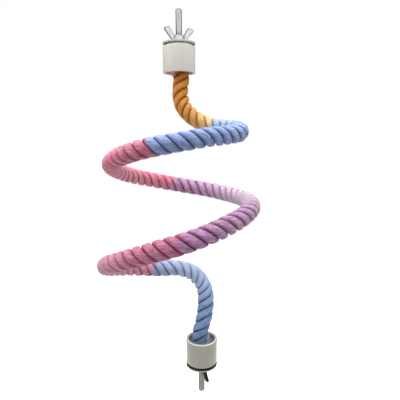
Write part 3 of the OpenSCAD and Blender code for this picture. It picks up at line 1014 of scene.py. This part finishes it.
def glue(end):
    """Set glue that fills the cap, heaped a little against the rope and the cap's wall."""
    name = end.name + "_glue"
    low, high = end.local("glue")
    glue_r = end.radius("glue") + GLUE_GRIP
    seed = GLUE_SEEDS[end.name]
    radii = np.linspace(GLUE_MIDDLE_SHARE, 1, GLUE_RINGS) * glue_r
    angles = np.linspace(0, 2 * math.pi, GLUE_AROUND, endpoint=False)
    r, a = np.meshgrid(radii, angles, indexing="ij")
    x, y = r * np.cos(a), r * np.sin(a)
    x_off = x - ROPE_SHIFT[end.name]
    from_rope = np.clip(np.hypot(x_off, y) - ROPE_R, 0, None)
    height = ROPE_HEAP_H * np.exp(-from_rope / ROPE_HEAP_REACH)
    height += WALL_HEAP_H * np.exp(-(glue_r - r) / WALL_HEAP_REACH)
    for k, (high_by, width, start) in enumerate((LUMPS, WRINKLES)):
        height += high_by * lattice_noise(x / width + start, y / width + start, seed + k)
    if end is TOP:
        off = np.hypot(x_off - LOBE_X, y - LOBE_Y)
        height += LOBE_H * np.exp(-(off / LOBE_REACH) ** 2)
    surface = np.stack([x, y, low + GLUE_SUNK - height], -1).reshape(-1, 3)
    local = np.concatenate([surface, round_about(glue_r, high, GLUE_AROUND)])
    faces = [face[::-1] for face in tube_faces(GLUE_RINGS + 1, GLUE_AROUND)]
    piece = mesh_piece(name + "_fill", end.world(local), faces, GLUE[end.name], "root")
    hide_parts(name)


def glue_string(end):
    """A thin round string of glue along its points, tapering at both ends."""
    path = np.array(end.mouth) + np.array(STRING) * MM
    ahead = np.gradient(path, axis=0)
    ahead /= np.linalg.norm(ahead, axis=1, keepdims=True)
    side = np.cross(ahead, (0, 1, 0))
    side /= np.linalg.norm(side, axis=1, keepdims=True)
    other = np.cross(ahead, side)
    taper = np.sin(np.linspace(STRING_END, math.pi - STRING_END, len(path))) ** STRING_TAPER_POWER
    rings = []
    for k in range(STRING_SIDES):
        a = 2 * math.pi * k / STRING_SIDES
        rings.append(path + (side * math.cos(a) + other * math.sin(a)) * STRING_R * taper[:, None])
    points = np.stack(rings, 1).reshape(-1, 3)
    faces = tube_faces(len(path), STRING_SIDES)
    mesh_piece(end.name + "_glue_string", points, faces, GLUE["string"], "root")


def refinish(node, material):
    """Gives a piece that keeps its CAD shape another material."""
    materials = frame["nodes"][node].data.materials
    materials.clear()
    materials.append(material)


for end in (TOP, BOTTOM):
    cap(end)
    bolt(end)
    washer(end, "inner_washer", "root")
    washer(end, "outer_washer", end.name + "_clamp")
    wing_nut(end)
    glue(end)
    refinish(end.name + "_tape", TAPE)
glue_string(BOTTOM)
refinish("wire_core", WIRE)


# Floor, light and camera
def floor():
    """A wide pale floor below the perch, white to the camera and in reflections."""
    z = cad_low.z - FLOOR_DROP
    corners = [(x * FLOOR_HALF, y * FLOOR_HALF, z) for x, y in ((-1, -1), (1, -1), (1, 1), (-1, 1))]
    mesh = bpy.data.meshes.new("floor")
    mesh.from_pydata(corners, [], [(0, 1, 2, 3)])
    plane = bpy.data.objects.new("floor", mesh)
    bpy.context.scene.collection.objects.link(plane)
    finish = Finish("floor", roughness=1, specular=0)
    finish.set("Base Color", linear(grey(FLOOR_GREY)))
    finish.set("Emission Color", (1, 1, 1, 1))
    path = finish.node("ShaderNodeLightPath")
    seen = finish.math("MAXIMUM", path.outputs["Is Camera Ray"], path.outputs["Is Glossy Ray"])
    seen = finish.math("MAXIMUM", seen, path.outputs["Is Transmission Ray"])
    finish.feed("Emission Strength", finish.product(seen, FLOOR_GLOW))
    mesh.materials.append(finish.material)


def world():
    """White where it is seen, a dimmer even light on the object, and in mirrors white before the
    object and dimmer behind it, which gives round metal its darker sides."""
    made = bpy.data.worlds.new("studio")
    bpy.context.scene.world = made
    made.use_nodes = True
    nodes, links = made.node_tree.nodes, made.node_tree.links

    def math_node(operation, output, value):
        node = nodes.new("ShaderNodeMath")
        node.operation = operation
        links.new(output, node.inputs[0])
        if isinstance(value, bpy.types.NodeSocket):
            links.new(value, node.inputs[1])
        else:
            node.inputs[1].default_value = value
        return node.outputs[0]

    background = nodes["Background"]
    background.inputs["Color"].default_value = (1, 1, 1, 1)
    path = nodes.new("ShaderNodeLightPath")
    way = nodes.new("ShaderNodeSeparateXYZ")
    links.new(nodes.new("ShaderNodeTexCoord").outputs["Generated"], way.inputs[0])
    mirror = nodes.new("ShaderNodeMapRange")
    for socket, value in (("From Min", MIRROR_FRONT_Y), ("From Max", MIRROR_BACK_Y),
                          ("To Min", 1), ("To Max", MIRROR_BEHIND)):
        mirror.inputs[socket].default_value = value
    links.new(way.outputs["Y"], mirror.inputs["Value"])
    bent = math_node("MAXIMUM", path.outputs["Is Glossy Ray"], path.outputs["Is Transmission Ray"])
    mirrored = math_node("MULTIPLY", bent, mirror.outputs["Result"])
    seen = math_node("MAXIMUM", path.outputs["Is Camera Ray"], mirrored)
    links.new(math_node("MAXIMUM", seen, WORLD_LIGHT), background.inputs["Strength"])


def softbox(name, at, aim, size, power):
    """A square lamp that gloss and metal don't mirror: they mirror the white around them."""
    light = bpy.data.lights.new(name, "AREA")
    light.shape = "SQUARE"
    light.size = size
    light.energy = power
    lamp = bpy.data.objects.new(name, light)
    lamp.location = at
    lamp.rotation_euler = (Vector(aim) - Vector(at)).to_track_quat("-Z", "Y").to_euler()
    lamp.visible_glossy = False
    bpy.context.scene.collection.objects.link(lamp)


def camera():
    data = bpy.data.cameras.new("camera")
    data.sensor_width = SENSOR
    data.lens = FOCAL_PX / IMAGE_PX * SENSOR
    data.clip_start = CAMERA_NEAR
    made = bpy.data.objects.new("camera", data)
    made.location = CAMERA_PLACE
    made.rotation_euler = (math.pi / 2 - CAMERA_PITCH, 0, 0)
    bpy.context.scene.collection.objects.link(made)
    bpy.context.scene.camera = made


floor()
world()
for name, values in LAMPS.items():
    softbox(name, *values)
camera()
bpy.context.scene.view_settings.view_transform = "Standard"
